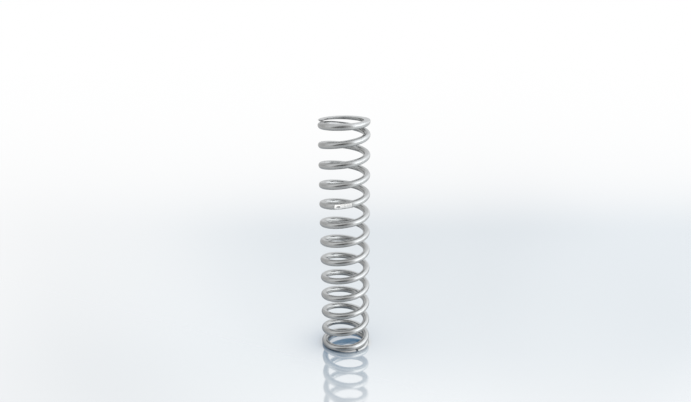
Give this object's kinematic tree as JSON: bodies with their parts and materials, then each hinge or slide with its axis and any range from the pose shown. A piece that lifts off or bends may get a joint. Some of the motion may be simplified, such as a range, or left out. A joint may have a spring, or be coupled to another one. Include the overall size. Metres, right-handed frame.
{
  "type": "coilover spring",
  "caption": "Straight coilover compression spring of round wire, coiled right-handed, with closed and ground ends and a silver paint finish.",
  "frame": {"origin": "on the spring's axis, in the plane of the lower ground face", "axes": "+Z along the spring's axis, up from the lower ground face to the upper one; the front, as pictured, is -Y"},
  "size_m": [0.0858, 0.0858, 0.4064],
  "materials": {
    "silver_paint": "satin silver paint over spring steel, ground end faces painted over"
  },
  "bodies": {
    "root": {"coil_spring": "silver_paint"}
  },
  "joints": []
}
